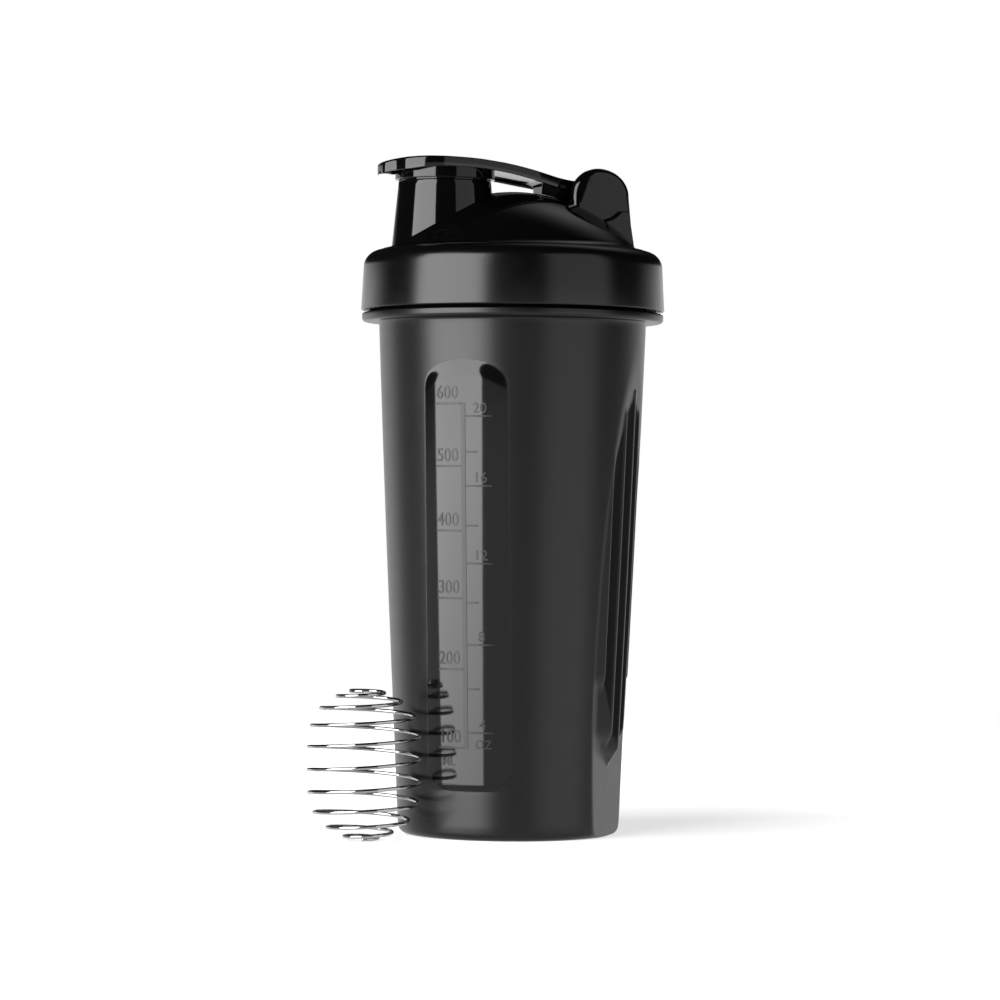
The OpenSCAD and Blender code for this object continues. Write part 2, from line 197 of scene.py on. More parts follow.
def refine(profile, step):
    """Extra points along a profile, so that no stretch is longer than step."""
    out = [profile[0]]
    for a, b in zip(profile, profile[1:]):
        n = max(1, math.ceil(math.dist(a, b) / step))
        out += [(a[0] + (b[0] - a[0]) * i / n, a[1] + (b[1] - a[1]) * i / n) for i in range(1, n + 1)]
    return out


def prism(name, outline, y0, y1, bevel, above=0.0):
    """An (x, z) outline extruded along Y. Its edges above a height are rounded."""
    n = len(outline)
    points = [(x, y0, z) for x, z in outline] + [(x, y1, z) for x, z in outline]
    faces = [tuple(range(n)), tuple(range(2 * n - 1, n - 1, -1))]
    faces += [(i, i + n, (i + 1) % n + n, (i + 1) % n) for i in range(n)]
    obj = add_mesh(name, points, faces)
    mesh = bmesh.new()
    mesh.from_mesh(obj.data)
    bmesh.ops.recalc_face_normals(mesh, faces=mesh.faces)
    rims = [e for e in mesh.edges if e.calc_face_angle(0) > math.radians(40)
            and any(len(f.verts) > 8 for f in e.link_faces) and min(v.co.z for v in e.verts) > above * MM]
    bmesh.ops.bevel(mesh, geom=rims, offset=bevel * MM, segments=4, profile=0.5, affect="EDGES")
    mesh.to_mesh(obj.data)
    mesh.free()
    return obj


def outward(obj):
    """Makes all faces look outwards."""
    mesh = bmesh.new()
    mesh.from_mesh(obj.data)
    bmesh.ops.recalc_face_normals(mesh, faces=mesh.faces)
    mesh.to_mesh(obj.data)
    mesh.free()
    return obj


def combine(obj, others, operation):
    """Joins other solids to obj, or cuts them from it."""
    for other in others:
        outward(other)
        change = obj.modifiers.new(operation, "BOOLEAN")
        change.operation = operation
        change.solver = "EXACT"
        change.object = other
        graph = bpy.context.evaluated_depsgraph_get()
        made = bpy.data.meshes.new_from_object(obj.evaluated_get(graph))
        obj.modifiers.clear()
        obj.data = made
        bpy.data.objects.remove(other)
    return obj


def smooth(obj, angle):
    """Smooth shading, with edges sharper than angle kept."""
    mesh = bmesh.new()
    mesh.from_mesh(obj.data)
    for face in mesh.faces:
        face.smooth = True
    for edge in mesh.edges:
        edge.smooth = edge.calc_face_angle(0) < math.radians(angle)
    mesh.to_mesh(obj.data)
    mesh.free()


def finish_piece(obj, body, material, angle=35, replaces=()):
    """Shades a piece, gives it its material, ties it to its body, and hides the nodes that it replaces."""
    smooth(obj, angle)
    obj.data.materials.clear()
    obj.data.materials.append(material)
    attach(obj, body)
    if replaces:
        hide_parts(*replaces)
    return obj


# ---------------------------------------------------------------- materials

SHEEN_LEVEL = 0.34
# The mould's grain and the slow waves in its surface, as waves per metre and depth in metres
GRAIN_SCALE, GRAIN_DEPTH, GRAIN_STRENGTH, POLISHED_GRAIN = 4200, 0.00006, 0.22, 0.02
WAVE_SCALE, WAVE_DEPTH = 45, 0.0004
FLOW_SCALE, FLOW_DEPTH, HAIR_SCALE, HAIR_DEPTH = 90, 0.0003, 2500, 0.00003
ROUGH_SPREAD, WEAR = 0.05, 0.03
WINDOW_BLEND, VALLEY_ROUGH = 0.12, 0.95
CUP_ROUGH, WINDOW_ROUGH, RUBBER_ROUGH = (0.27, 0.34), (0.055, 0.10), (0.55, 0.75)
LID_BLACK = ((0.0008, 0.0008, 0.0009), (0.0014, 0.0014, 0.0015))
CUP_BLACK = ((0.0018, 0.0018, 0.0019), (0.0026, 0.0026, 0.0027))
WINDOW_BLACK = ((0.0016, 0.0016, 0.0017), (0.0024, 0.0024, 0.0025))
MARK_GREY = ((0.0075, 0.0075, 0.0077), (0.010, 0.010, 0.0102))
STEEL_GREY = ((0.36, 0.36, 0.365), (0.48, 0.48, 0.485))
RUBBER_BLACK = ((0.014, 0.014, 0.014), (0.024, 0.024, 0.024))


def new_material(name):
    material = bpy.data.materials.new(name)
    material.use_nodes = True
    nodes, links = material.node_tree.nodes, material.node_tree.links
    return material, nodes, links, nodes["Principled BSDF"]


def noise(nodes, links, scale, detail=3.0, roughness=0.5):
    """Noise in the piece's own coordinates, with scale in waves per metre."""
    place = nodes.new("ShaderNodeTexCoord")
    texture = nodes.new("ShaderNodeTexNoise")
    texture.inputs["Scale"].default_value = scale
    texture.inputs["Detail"].default_value = detail
    texture.inputs["Roughness"].default_value = roughness
    links.new(place.outputs["Object"], texture.inputs["Vector"])
    return texture.outputs["Fac"]


def spread(nodes, links, value, low, high, start=0.0, end=1.0, kind="LINEAR"):
    """Goes from low to high as a value goes from start to end."""
    change = nodes.new("ShaderNodeMapRange")
    change.interpolation_type = kind
    change.inputs["From Min"].default_value = start
    change.inputs["From Max"].default_value = end
    change.inputs["To Min"].default_value = low
    change.inputs["To Max"].default_value = high
    links.new(value, change.inputs["Value"])
    return change.outputs["Result"]


def tint(nodes, links, value, dark, light):
    """A colour that goes from dark to light with a value."""
    mix = nodes.new("ShaderNodeMix")
    mix.data_type = "RGBA"
    mix.inputs["A"].default_value = (*dark, 1)
    mix.inputs["B"].default_value = (*light, 1)
    links.new(value, mix.inputs["Factor"])
    return mix.outputs["Result"]


def bump(nodes, links, height, strength, distance, below=None):
    node = nodes.new("ShaderNodeBump")
    node.inputs["Strength"].default_value = strength
    node.inputs["Distance"].default_value = distance
    links.new(height, node.inputs["Height"])
    if below is not None:
        links.new(below, node.inputs["Normal"])
    return node.outputs["Normal"]


def satin_plastic(name, dark, light, rough):
    """Moulded plastic with a fine spark-eroded grain and soft handling marks."""
    material, nodes, links, shader = new_material(name)
    links.new(tint(nodes, links, noise(nodes, links, 60), dark, light), shader.inputs["Base Color"])
    marks = noise(nodes, links, 140, 4)
    uneven = spread(nodes, links, marks, rough - ROUGH_SPREAD, rough + ROUGH_SPREAD)
    links.new(uneven, shader.inputs["Roughness"])
    grain = bump(nodes, links, noise(nodes, links, GRAIN_SCALE, 2), GRAIN_STRENGTH, GRAIN_DEPTH)
    waves = bump(nodes, links, noise(nodes, links, WAVE_SCALE, 2), 0.10, WAVE_DEPTH, grain)
    links.new(waves, shader.inputs["Normal"])
    shader.inputs["Specular IOR Level"].default_value = SHEEN_LEVEL
    return material


def gloss_plastic(name, dark, light, rough):
    """Polished plastic with faint flow waves and hairline wear."""
    material, nodes, links, shader = new_material(name)
    links.new(tint(nodes, links, noise(nodes, links, 80), dark, light), shader.inputs["Base Color"])
    marks = noise(nodes, links, 300, 5, 0.65)
    links.new(spread(nodes, links, marks, rough - WEAR, rough + WEAR), shader.inputs["Roughness"])
    waves = bump(nodes, links, noise(nodes, links, FLOW_SCALE, 2), 0.05, FLOW_DEPTH)
    hair = bump(nodes, links, noise(nodes, links, HAIR_SCALE, 2), 0.04, HAIR_DEPTH, waves)
    links.new(hair, shader.inputs["Normal"])
    shader.inputs["Specular IOR Level"].default_value = SHEEN_LEVEL
    return material


def cup_plastic(name):
    """The cup's satin plastic, which is polished in the window strip and matt between the grips' ribs."""
    material, nodes, links, shader = new_material(name)
    edge = nodes.new("ShaderNodeAttribute")
    edge.attribute_name = "window"
    mask = spread(nodes, links, edge.outputs["Fac"], 0.0, 1.0, -WINDOW_BLEND, WINDOW_BLEND)
    colour = nodes.new("ShaderNodeMix")
    colour.data_type = "RGBA"
    links.new(mask, colour.inputs["Factor"])
    links.new(tint(nodes, links, noise(nodes, links, 60), *CUP_BLACK), colour.inputs["A"])
    links.new(tint(nodes, links, noise(nodes, links, 35), *WINDOW_BLACK), colour.inputs["B"])
    links.new(colour.outputs["Result"], shader.inputs["Base Color"])
    rough = nodes.new("ShaderNodeMix")
    links.new(mask, rough.inputs["Factor"])
    links.new(spread(nodes, links, noise(nodes, links, 140, 4), *CUP_ROUGH), rough.inputs["A"])
    links.new(spread(nodes, links, noise(nodes, links, 220, 4), *WINDOW_ROUGH), rough.inputs["B"])
    valley = nodes.new("ShaderNodeAttribute")
    valley.attribute_name = "valley"
    matt = nodes.new("ShaderNodeMix")
    matt.inputs["B"].default_value = VALLEY_ROUGH
    links.new(valley.outputs["Fac"], matt.inputs["Factor"])
    links.new(rough.outputs["Result"], matt.inputs["A"])
    links.new(matt.outputs["Result"], shader.inputs["Roughness"])
    grain = nodes.new("ShaderNodeBump")
    grain.inputs["Distance"].default_value = GRAIN_DEPTH
    links.new(noise(nodes, links, GRAIN_SCALE, 2), grain.inputs["Height"])
    links.new(spread(nodes, links, mask, GRAIN_STRENGTH, POLISHED_GRAIN), grain.inputs["Strength"])
    waves = bump(nodes, links, noise(nodes, links, WAVE_SCALE, 2), 0.08, WAVE_DEPTH, grain.outputs["Normal"])
    links.new(waves, shader.inputs["Normal"])
    shader.inputs["Specular IOR Level"].default_value = SHEEN_LEVEL
    return material


def steel(name, rough, drawn):
    """Stainless steel with fine drawing lines and polishing marks."""
    material, nodes, links, shader = new_material(name)
    shader.inputs["Metallic"].default_value = 1.0
    links.new(tint(nodes, links, noise(nodes, links, 220, 4), *STEEL_GREY), shader.inputs["Base Color"])
    marks = noise(nodes, links, 900, 4)
    links.new(spread(nodes, links, marks, rough * 0.6, rough * 1.4), shader.inputs["Roughness"])
    links.new(bump(nodes, links, noise(nodes, links, 3000, 3), drawn, 0.00004), shader.inputs["Normal"])
    return material


def soft_rubber(name):
    """Soft black sealing silicone with a matt skin."""
    material, nodes, links, shader = new_material(name)
    links.new(tint(nodes, links, noise(nodes, links, 120), *RUBBER_BLACK), shader.inputs["Base Color"])
    links.new(spread(nodes, links, noise(nodes, links, 400, 4), *RUBBER_ROUGH), shader.inputs["Roughness"])
    links.new(bump(nodes, links, noise(nodes, links, 2200, 3), 0.2, 0.00008), shader.inputs["Normal"])
    return material


CUP = cup_plastic("cup_plastic")
COLLAR = satin_plastic("collar_plastic", *LID_BLACK, 0.215)
GLOSS = gloss_plastic("lid_gloss_plastic", *LID_BLACK, 0.07)
CAP_GLOSS = gloss_plastic("cap_gloss_plastic", *LID_BLACK, 0.08)
MARKS = gloss_plastic("mark_plastic", *MARK_GREY, 0.32)
BALL_STEEL = steel("ball_steel", 0.11, 0.12)
PIN_STEEL = steel("pin_steel", 0.28, 0.25)
SEAL = soft_rubber("soft_seal")


# ---------------------------------------------------------------- cup

def side_r(z):
    t = z / SIDE_H
    return BASE_R + (SIDE_TOP_R - BASE_R) * t + SIDE_BULGE * 4 * t * (1 - t)


def turn(degrees):
    """An angle brought to -180 to 180 degrees."""
    return (degrees + 180) % 360 - 180


def grip_surface(theta, z, inset):
    """Distance from the axis to the hollow faces of the two grips, inset by some wall."""
    reach = GRIP_BASE + GRIP_CURVE_R - np.sqrt((GRIP_CURVE_R + inset) ** 2 - z ** 2)
    r = np.full(np.broadcast(theta, z).shape, FAR_AWAY)
    for a in GRIP_DIRS:
        away = turn(theta - a)
        near = np.abs(away) < 70
        r = np.where(near, np.minimum(r, reach / np.cos(np.radians(np.where(near, away, 0)))), r)
    return r


def rib_surface(theta, z, r0):
    """Distance from the axis to the upright ribs, whose flanks slope the same way all over a grip."""
    r = np.zeros(np.broadcast(theta, z).shape)
    for a in GRIP_DIRS:
        away = turn(theta - a)
        near = np.abs(away) < 45
        c, s = np.cos(np.radians(np.where(near, away, 0))), np.sin(np.radians(np.where(near, away, 0)))
        for i, (low, high) in enumerate(RIB_ENDS):
            side = math.radians((i - 2) * RIB_STEP)
            past_end = np.maximum(np.maximum(low - z, z - high), 0)
            top, across = r0 * math.cos(side) - RIB_DROP - RIB_END_SLOPE * past_end, r0 * math.sin(side)
            left = (top - RIB_SLOPE * across) / (c - RIB_SLOPE * s)
            right = (top + RIB_SLOPE * across) / (c + RIB_SLOPE * s)
            r = np.where(near, np.maximum(r, soft_min(left, right, RIB_ROUND)), r)
    return r


def rib_valley(theta, z, r, r0):
    """1 in the matt valleys between a grip's ribs, 0 on the ribs' crests and everywhere else."""
    valley = np.zeros(np.broadcast(theta, z).shape)
    lows, highs = zip(*RIB_ENDS[2:])
    for a in GRIP_DIRS:
        step = np.abs(turn(theta - a)) / RIB_STEP
        low, high = np.interp(step, range(3), lows), np.interp(step, range(3), highs)
        between = ramp(z, low, low + VALLEY_END) * (1 - ramp(z, high - VALLEY_END, high))
        zone = between * (1 - ramp(step, 2.0, 2.3))
        deep = np.clip((r0 - r - RIB_DROP - VALLEY_START) / VALLEY_START, 0, 1)
        valley = np.maximum(valley, zone * deep)
    return valley


def window_across(theta, z):
    """Distance sideways from the middle of the window strip."""
    away = turn(theta - WINDOW_DIR)
    return np.where(np.abs(away) < 80, np.abs(side_r(z) * np.sin(np.radians(away))), FAR_AWAY)


def window_distance(theta, z):
    """Distance in millimetres from the edge of the window strip, above 0 inside it."""
    across = window_across(theta, z)
    middle, half_h = (WINDOW_Z0 + WINDOW_Z1) / 2, (WINDOW_Z1 - WINDOW_Z0) / 2
    corner = np.where(z > middle, WINDOW_TOP_CORNER, WINDOW_FOOT_CORNER)
    qx = across - WINDOW_HALF_W + corner
    qz = np.abs(z - middle) - half_h + corner
    outside = np.hypot(np.maximum(qx, 0), np.maximum(qz, 0)) + np.minimum(np.maximum(qx, qz), 0)
    arch = np.where(z > WINDOW_Z1 - WINDOW_ARCH_R,
                    WINDOW_ARCH_R - np.hypot(across, z - WINDOW_Z1 + WINDOW_ARCH_R), FAR_AWAY)
    return soft_min(corner - outside, arch, ARCH_BLEND)


def window_rise(across, z):
    """How far the window strip bulges out, flush at its edges."""
    arch_z = WINDOW_Z1 - WINDOW_ARCH_R + np.sqrt(np.maximum(WINDOW_ARCH_R ** 2 - across ** 2, 0))
    ends = ramp(z, WINDOW_Z0, WINDOW_Z0 + 2) * (1 - ramp(z, arch_z - 5, arch_z))
    return WINDOW_BULGE * np.maximum(1 - (across / WINDOW_HALF_W) ** 2, 0) * ends


def cup_angles():
    """Columns round the cup, close together at the grips' ribs and the window's edges."""
    angles, a = [], -180.0
    while a < 180 - 0.2:
        angles.append(a)
        grip = min(abs(turn(a - g)) for g in GRIP_DIRS)
        window = abs(abs(turn(a - WINDOW_DIR)) - WINDOW_EDGE_ANGLE)
        if grip < 25:
            a += RIB_COLUMNS
        elif window < 2.4:
            a += EDGE_COLUMNS
        elif grip < 36 or window < 20:
            a += NEAR_COLUMNS
        else:
            a += PLAIN_COLUMNS
    return np.array(angles)


def make_cup():
    """The cup, as rings of points from the recess under it, up its outside and down its inside."""
    theta = cup_angles()[None, :]
    foot = [(FOOT_IN_R - 1, FOOT_RECESS), (FOOT_IN_R - 0.6, 0.6), (FOOT_IN_R, 0.0), (FOOT_IN_R + 2, 0.0)]
    foot += arc((BASE_R - FOOT_EDGE, FOOT_EDGE), FOOT_EDGE, -90, 0, 8)
    side_z = np.concatenate([np.arange(*rows) for rows in SIDE_ROWS])
    fillet_z = SIDE_H - FLANGE_FILLET
    under = arc((side_r(fillet_z) + FLANGE_FILLET, fillet_z), FLANGE_FILLET, 180, 90, 4)
    flange_top = SIDE_H + FLANGE_T
    flange = arc((FLANGE_R - FLANGE_EDGE, SIDE_H + FLANGE_EDGE), FLANGE_EDGE, -90, 0, 6)
    flange += arc((FLANGE_R - FLANGE_TOP_EDGE, flange_top - FLANGE_TOP_EDGE), FLANGE_TOP_EDGE, 0, 90, 4)
    neck = [(NECK_R + 0.4, flange_top), (NECK_R, flange_top + 0.4), (NECK_R, RIM_Z - NECK_EDGE)]
    neck += arc((NECK_R - NECK_EDGE, RIM_Z - NECK_EDGE), NECK_EDGE, 0, 90, 4)[1:]
    neck += arc((NECK_INNER_R + NECK_INNER_EDGE, RIM_Z - NECK_INNER_EDGE), NECK_INNER_EDGE, 90, 180, 4)
    profile = foot + [(side_r(z), z) for z in side_z] + under + flange + neck
    r = np.array([p[0] for p in profile])[:, None] + 0 * theta
    z = np.array([p[1] for p in profile])[:, None] + 0 * theta
    on_side = (z < SIDE_H - 0.5) & (r > FOOT_IN_R + 2.5)
    hollow = soft_min(r, grip_surface(theta, z, 0), GRIP_EDGE)
    ribbed = soft_max(hollow, rib_surface(theta, z, side_r(z)), GRIP_EDGE)
    valley = rib_valley(theta, z, ribbed, side_r(z))
    window = window_distance(theta, z)
    sunk = WINDOW_DEPTH * ramp(window, -WINDOW_EDGE, WINDOW_EDGE)
    rise = window_rise(window_across(theta, z), z)
    r = np.where(on_side, np.minimum(ribbed, r) - sunk + rise, r)
    floor_z = [6.0, 4.8, 4.0, 3.3, 2.8, FLOOR_T]
    inner_z = np.concatenate([[SIDE_H - 0.5], np.linspace(150, 8, 60), floor_z])
    fillet_down = np.array([0, 0.55, 1.1, 1.65, 2.0, FLOOR_FILLET])
    fillet_in = FLOOR_FILLET - np.sqrt(FLOOR_FILLET ** 2 - fillet_down ** 2)
    round_in = np.concatenate([np.zeros(len(inner_z) - len(floor_z)), fillet_in])
    ri = side_r(inner_z)[:, None] - WALL + 0 * theta
    zi = inner_z[:, None] + 0 * theta
    ri = np.minimum(ri, grip_surface(theta, zi, WALL)) - round_in[:, None]
    step = np.array([[NECK_INNER_R, SIDE_H + 0.6], [NECK_INNER_R - 0.1, SIDE_H]])
    middle = np.array([[20.0, FLOOR_T], [8.0, FLOOR_T]])
    bottom = np.array([[8.0, FOOT_RECESS], [18.0, FOOT_RECESS]])

    def ring_rows(pairs):
        return pairs[:, 0][:, None] + 0 * theta, pairs[:, 1][:, None] + 0 * theta

    parts = [ring_rows(bottom), (r, z), ring_rows(step), (ri, zi), ring_rows(middle)]
    r_all, z_all = np.vstack([p[0] for p in parts]), np.vstack([p[1] for p in parts])
    a = np.radians(theta)
    rings = np.stack([r_all * np.cos(a), r_all * np.sin(a), z_all], -1)
    rows, columns = rings.shape[:2]
    points = np.vstack([rings.reshape(-1, 3), [[0, 0, FOOT_RECESS], [0, 0, FLOOR_T]]])
    faces = grid_faces(rows, columns)
    first, last, end = rows * columns, rows * columns + 1, (rows - 1) * columns
    for j in range(columns):
        k = (j + 1) % columns
        faces.append((first, k, j))
        faces.append((last, end + j, end + k))
    cup = add_mesh("cup_shell", points, faces)
    start = len(bottom) * columns
    for name, field, elsewhere in (("window", window, -5.0), ("valley", valley, 0.0)):
        value = np.full(len(points), elsewhere, np.float32)
        value[start:start + field.size] = np.where(on_side, field, elsewhere).ravel()
        cup.data.attributes.new(name, "FLOAT", "POINT").data.foreach_set("value", value)
    return finish_piece(cup, "cup", CUP, angle=50, replaces=("bottle_cup",))


def thread_ridge(name, r0, r1, z0):
    """A screw thread's ridge that stands out from radius r0 to radius r1 and fades at its ends."""
    n = int(120 * TURNS)
    sign = 1 if r1 > r0 else -1
    shape = [(r0 - sign * 0.4, -1.1), (r0 + sign * 0.1, -1.0), (r1 - sign * 0.15, -0.55), (r1, -0.40),
             (r1, 0.40), (r1 - sign * 0.15, 0.55), (r0 + sign * 0.1, 1.0), (r0 - sign * 0.4, 1.1)]
    points = []
    for i in range(n + 1):
        a = 2 * math.pi * TURNS * i / n
        fade = min(1.0, 0.15 + min(i, n - i) / 12)
        for r, z in shape:
            reach = r0 - sign * 0.4 + (r - r0 + sign * 0.4) * fade
            points.append((reach * math.cos(a), reach * math.sin(a), z0 + PITCH * TURNS * i / n + z))
    k = len(shape)
    faces = grid_faces(n + 1, k) + [tuple(range(k))[::-1], tuple(range(n * k, n * k + k))]
    return outward(add_mesh(name, points, faces))


def on_window(points):
    """Maps (across, up, out) points onto the window strip's face."""
    p = np.asarray(points, float)
    r = side_r(p[:, 1])
    a = np.radians(WINDOW_DIR) + np.arcsin(np.clip(p[:, 0] / r, -1, 1))
    reach = r - WINDOW_DEPTH + window_rise(p[:, 0], p[:, 1]) + p[:, 2]
    return np.stack([reach * np.cos(a), reach * np.sin(a), p[:, 1]], -1)


def raised_bar(x0, x1, z0, z1):
    """Points and faces of a raised bar with sloping sides, in pieces short enough to bend."""
    nx = max(1, math.ceil((x1 - x0) / 1.5))
    nz = max(1, math.ceil((z1 - z0) / 2.0))
    xs = [x0, x0 + BAR_SLOPE] + [x0 + BAR_SLOPE + (x1 - x0 - 2 * BAR_SLOPE) * i / nx for i in range(1, nx)]
    xs += [x1 - BAR_SLOPE, x1]
    zs = [z0, z0 + BAR_SLOPE] + [z0 + BAR_SLOPE + (z1 - z0 - 2 * BAR_SLOPE) * i / nz for i in range(1, nz)]
    zs += [z1 - BAR_SLOPE, z1]
    points, faces = [], []
    for z in zs:
        for x in xs:
            low = x in (xs[0], xs[-1]) or z in (zs[0], zs[-1])
            points.append((x, z, -MARK_ROOT if low else MARK_T))
    m = len(xs)
    for i in range(len(zs) - 1):
        for j in range(m - 1):
            faces.append((i * m + j, i * m + j + 1, (i + 1) * m + j + 1, (i + 1) * m + j))
    rim = list(range(m)) + [i * m + m - 1 for i in range(1, len(zs))]
    rim += [(len(zs) - 1) * m + j for j in range(m - 2, -1, -1)] + [i * m for i in range(len(zs) - 2, 0, -1)]
    faces.append(tuple(rim[::-1]))
    return points, faces


def raised_text(body, x, z, size, narrow):
    """Points and faces of raised numerals, centred on x and standing on height z."""
    curve = bpy.data.curves.new("numerals", "FONT")
    curve.body = body
    curve.size = size
    curve.align_x = "CENTER"
    curve.extrude = (MARK_T + MARK_ROOT) / 2
    curve.offset = LETTER_WEIGHT
    curve.resolution_u = 4
    curve.space_character = LETTER_SPACING
    obj = bpy.data.objects.new("numerals", curve)
    bpy.context.scene.collection.objects.link(obj)
    mesh = bpy.data.meshes.new_from_object(obj.evaluated_get(bpy.context.evaluated_depsgraph_get()))
    middle = (MARK_T - MARK_ROOT) / 2
    points = [(v.co.x * narrow + x, v.co.y + z, v.co.z + middle) for v in mesh.vertices]
    faces = [tuple(f.vertices) for f in mesh.polygons]
    bpy.data.objects.remove(obj)
    return points, faces


def make_marks():
    """The volume scale on the window: a spine, a bar for each 100 ml and one for each 2 ounces."""
    low, high = ML_MARKS[0], ML_MARKS[-1]
    shapes = [raised_bar(*SPINE, low, high + BAR_H)]
    for i, z in enumerate(ML_MARKS):
        shapes.append(raised_bar(*ML_BAR, z, z + BAR_H))
        shapes.append(raised_text(str(100 * (i + 1)), x=-5.5, z=z + 1.9, size=5.8, narrow=0.84))
    for i, z in enumerate(OZ_MARKS):
        numbered = i % 2 == 0
        shapes.append(raised_bar(*(OZ_BAR if numbered else OZ_SHORT_BAR), z, z + BAR_H))
        if numbered:
            shapes.append(raised_text(str(2 * i + 4), x=5.4, z=z + 1.4, size=4.5, narrow=0.95))
    shapes.append(raised_text("ML", x=-6.1, z=low - 5.2, size=3.9, narrow=0.9))
    shapes.append(raised_text("OZ", x=5.6, z=OZ_MARKS[0] - 4.6, size=3.9, narrow=0.9))
    points, faces = [], []
    for some, sides in shapes:
        start = len(points)
        points += some
        faces += [tuple(i + start for i in f) for f in sides]
    marks = outward(add_mesh("volume_marks", on_window(points), faces))
    return finish_piece(marks, "cup", MARKS, angle=30)


# ---------------------------------------------------------------- lid

def make_collar():
    """The collar: its wall leans in to a round shoulder, and a bead meets the lid's top."""
    wall = [(COLLAR_INNER_R, COLLAR_Z + 0.4), (COLLAR_INNER_R + 0.4, COLLAR_Z),
            (COLLAR_R - COLLAR_EDGE, COLLAR_Z)]
    wall += arc((COLLAR_R - COLLAR_EDGE, COLLAR_Z + COLLAR_EDGE), COLLAR_EDGE, -90, 0, 5)
    shoulder = arc((COLLAR_WALL_R - SHOULDER_R, COLLAR_TOP_Z - SHOULDER_R), SHOULDER_R, 0, 90, 24)
    shoulder = shoulder[:-1] + arc((SEAT_R + 0.45, COLLAR_TOP_Z), 0.35, 10, 170, 8)
    inside = [(SEAT_R, COLLAR_TOP_Z - 0.15), (SEAT_R, SEAT_Z), (LID_HOLE_R, SEAT_Z),
              (LID_HOLE_R, CEILING_Z), (COLLAR_INNER_R - 0.8, CEILING_Z), (COLLAR_INNER_R, CEILING_Z - 0.8)]
    collar = lathe("collar_shell", wall + shoulder + inside, 288, closed=True)
    return finish_piece(outward(collar), "lid", COLLAR, replaces=("lid_collar",))


def dome_solid():
    """The dome with the brim round it, which rises from the dome's foot to the collar."""
    brim = [(0, SEAT_Z), (LID_HOLE_R, SEAT_Z), (SEAT_R - 0.2, SEAT_Z), (SEAT_R - 0.1, COLLAR_TOP_Z - 0.1),
            (SEAT_R - 0.3, COLLAR_TOP_Z + 0.1)]
    brim_w, brim_rise = SEAT_R - 0.5 - DOME_R, COLLAR_TOP_Z + 0.15 - BRIM_Z
    brim += [(DOME_R + brim_w * (1 - t), BRIM_Z + brim_rise * (1 - t) ** 0.7)
             for t in (0.12, 0.3, 0.5, 0.7, 0.88)]
    flank = math.degrees(math.asin(DOME_R / DOME_SPHERE_R))
    dome = arc((0, DOME_CENTER_Z), DOME_SPHERE_R, 90 - flank, 90, 56)
    return lathe("lid_dome", refine(brim, 3.0) + dome[:-1] + [(0, DOME_TOP_Z)], 256)


def spout_solid():
    """The spout, which narrows upwards to a step and a lip."""
    neck_z, root_z = SPOUT_Z - SPOUT_LIP_H, BRIM_Z - 1.4
    spout = [(0, root_z), (SPOUT_BASE_R, root_z), (SPOUT_NECK_R, neck_z - 0.15), (SPOUT_NECK_R - 0.1, neck_z),
             (SPOUT_R, neck_z), (SPOUT_R, SPOUT_Z - SPOUT_EDGE)]
    spout += arc((SPOUT_R - SPOUT_EDGE, SPOUT_Z - SPOUT_EDGE), SPOUT_EDGE, 0, 90, 5)[1:] + [(0, SPOUT_Z)]
    return lathe("spout", refine(spout, 2.0), 160, (-SPOUT_X, 0))


def ear_solids():
    """The small far ear, the large near ear, and the pad with a round seat on the near ear's foot."""
    ears = []
    foot_z, near_y = SEAT_Z + 0.8, -EAR_GAP - EAR_T
    head_x, head_z = HINGE_X - EAR_BACK, HINGE_Z - EAR_DROP
    for r, x, z, y0, fillet in ((FAR_EAR_R, HINGE_X, HINGE_Z, EAR_GAP, FAR_EAR_FILLET),
                                (EAR_R, head_x, head_z, near_y, EAR_FILLET)):
        foot_x = EAR_FOOT_X - EAR_R + r
        lean = EAR_LEAN * r / EAR_R
        ear = [(p + lean * max(p - x, 0) / r, q) for p, q in arc((x, z), r, 0, 180, 48)]
        ear += [(x - r, low) for low in np.linspace(z - 3, foot_z, 6)]
        ear += [(foot_x, foot_z), (foot_x, BRIM_Z - 0.2)]
        ears.append(prism("ear", ear, y0, y0 + EAR_T, fillet, foot_z + 1))
    pad_left, pad_right, pad_low = head_x - EAR_R + PAD_SET_IN, EAR_FOOT_X - 0.1, foot_z + 0.1
    pad = [(pad_left, pad_low), (pad_right, pad_low), (pad_right, BRIM_Z),
           (head_x + EAR_R + 0.4, head_z - 4.6), (pad_left, head_z - 5.4)]
    pad = prism("pad", refine(pad, 3.0), near_y - PAD_T, near_y + 1.5, PAD_EDGE)
    for v in pad.data.vertices:
        if v.co.y < near_y * MM:
            v.co.y += PAD_TURN * (v.co.x - head_x * MM)
    before, behind = near_y - PAD_T - 2, near_y + 2.5
    seat = [(0, before), (PAD_R + PAD_T + 2, before), (PAD_R, near_y), (PAD_R, behind), (0, behind)]
    seat = lathe("seat", seat, 128)
    ears.append(combine(outward(pad), [on_axis_y(seat, head_x, head_z)], "DIFFERENCE"))
    return ears


